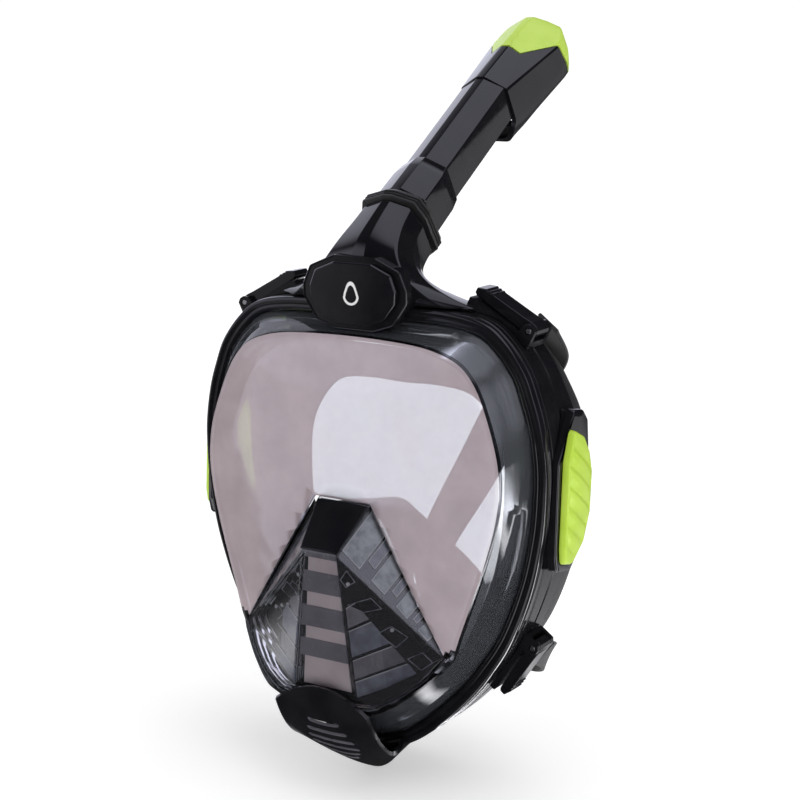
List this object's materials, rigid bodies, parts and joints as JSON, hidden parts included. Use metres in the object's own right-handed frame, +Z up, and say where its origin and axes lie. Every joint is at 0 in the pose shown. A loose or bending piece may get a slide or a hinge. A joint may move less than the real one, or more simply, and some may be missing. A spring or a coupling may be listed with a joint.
{
  "type": "full face snorkel mask",
  "caption": "Full face snorkel mask with a clear bulged window, black frame ring, lime grip pads, rear-leaning snorkel tube with a valve head, elastic head straps and one-way valves.",
  "frame": {"origin": "centre of the mask's bounding box in plan, at its lowest point", "axes": "+Z up the wearer's face, -Y out of the window towards what the wearer sees, +X to the viewer's right when looking at the window"},
  "size_m": [0.2144, 0.2201, 0.3706],
  "materials": {
    "silicone": "satin",
    "gloss_black": "gloss",
    "satin_black": "satin",
    "steel": "satin",
    "smoke": "gloss",
    "valve_film": "satin",
    "float_white": "satin",
    "lime": "gloss",
    "clear": "gloss",
    "webbing": "matte"
  },
  "bodies": {
    "mask": {"back_pad": "silicone", "badge_plate": "gloss_black", "chin_cover": "satin_black", "clamp_ring": "gloss_black", "clip_base_lower_left": "satin_black", "clip_base_lower_right": "satin_black", "clip_base_upper_left": "satin_black", "clip_base_upper_right": "satin_black", "clip_pin_lower_left": "steel", "clip_pin_lower_right": "steel", "clip_pin_upper_left": "steel", "clip_pin_upper_right": "steel", "duct_divider": "smoke", "face_skirt": "silicone", "forehead_duct": "gloss_black", "grip_bezel_left": "gloss_black", "grip_bezel_right": "gloss_black", "grip_pad_left": "lime", "grip_pad_right": "lime", "inhale_seat_left": "smoke", "inhale_seat_right": "smoke", "nose_bridge_trim": "gloss_black", "nose_cover": "clear", "nose_guard": "smoke", "oral_cup": "silicone", "purge_seat": "smoke", "side_band": "satin_black", "socket_lip": "silicone", "strap_lower_left": "webbing", "strap_lower_right": "webbing", "strap_upper_left": "webbing", "strap_upper_right": "webbing", "visor": "clear"},
    "tube": {"snorkel_tube": "gloss_black", "tube_sleeve": "gloss_black", "tube_seal": "silicone", "tube_divider": "smoke", "head_shell": "gloss_black", "head_collar": "gloss_black", "head_floor": "satin_black", "head_cap": "lime", "head_grille": "satin_black", "float_guide": "steel", "inlet_seat": "smoke"},
    "float": {"float": "float_white", "float_seal": "silicone"},
    "purge_disc": {"purge_disc": "valve_film"},
    "inhale_flap_left": {"inhale_flap_left": "valve_film"},
    "exhaust_flap_left": {"exhaust_flap_left": "valve_film"},
    "clip_upper_left": {"clip_lever_upper_left": "gloss_black"},
    "clip_lower_left": {"clip_lever_lower_left": "gloss_black"},
    "inhale_flap_right": {"inhale_flap_right": "valve_film"},
    "exhaust_flap_right": {"exhaust_flap_right": "valve_film"},
    "clip_upper_right": {"clip_lever_upper_right": "gloss_black"},
    "clip_lower_right": {"clip_lever_lower_right": "gloss_black"}
  },
  "joints": [
    {"name": "tube_release", "type": "slide", "parent": "mask", "child": "tube", "axis": [0, 0.8443, 0.5358], "range_m": [0, 0.032]},
    {"name": "float_slide", "type": "slide", "parent": "tube", "child": "float", "axis": [0, 0.8443, 0.5358], "range_m": [0, 0.008]},
    {"name": "purge_valve_lift", "type": "slide", "parent": "mask", "child": "purge_disc", "axis": [0, -0.5459, -0.8378], "range_m": [0, 0.0025]},
    {"name": "inhale_flap_left", "type": "hinge", "parent": "mask", "child": "inhale_flap_left", "pos_m": [-0.03076, -0.06831, 0.10934], "axis": [-0.1607, -0.987, 0], "range_deg": [0, 35]},
    {"name": "exhaust_flap_left", "type": "hinge", "parent": "mask", "child": "exhaust_flap_left", "pos_m": [-0.01475, -0.0489, 0.2455], "axis": [-1, 0, 0], "range_deg": [0, 30]},
    {"name": "clip_upper_left", "type": "hinge", "parent": "mask", "child": "clip_upper_left", "pos_m": [-0.0815, -0.0464, 0.2295], "axis": [0, -1, 0], "range_deg": [0, 50]},
    {"name": "clip_lower_left", "type": "hinge", "parent": "mask", "child": "clip_lower_left", "pos_m": [-0.086, -0.0469, 0.076], "axis": [0, 1, 0], "range_deg": [0, 50]},
    {"name": "inhale_flap_right", "type": "hinge", "parent": "mask", "child": "inhale_flap_right", "pos_m": [0.03076, -0.06831, 0.10934], "axis": [-0.1607, 0.987, 0], "range_deg": [0, 35]},
    {"name": "exhaust_flap_right", "type": "hinge", "parent": "mask", "child": "exhaust_flap_right", "pos_m": [0.01475, -0.0489, 0.2455], "axis": [-1, 0, 0], "range_deg": [0, 30]},
    {"name": "clip_upper_right", "type": "hinge", "parent": "mask", "child": "clip_upper_right", "pos_m": [0.0815, -0.0464, 0.2295], "axis": [0, 1, 0], "range_deg": [0, 50]},
    {"name": "clip_lower_right", "type": "hinge", "parent": "mask", "child": "clip_lower_right", "pos_m": [0.086, -0.0469, 0.076], "axis": [0, -1, 0], "range_deg": [0, 50]}
  ]
}
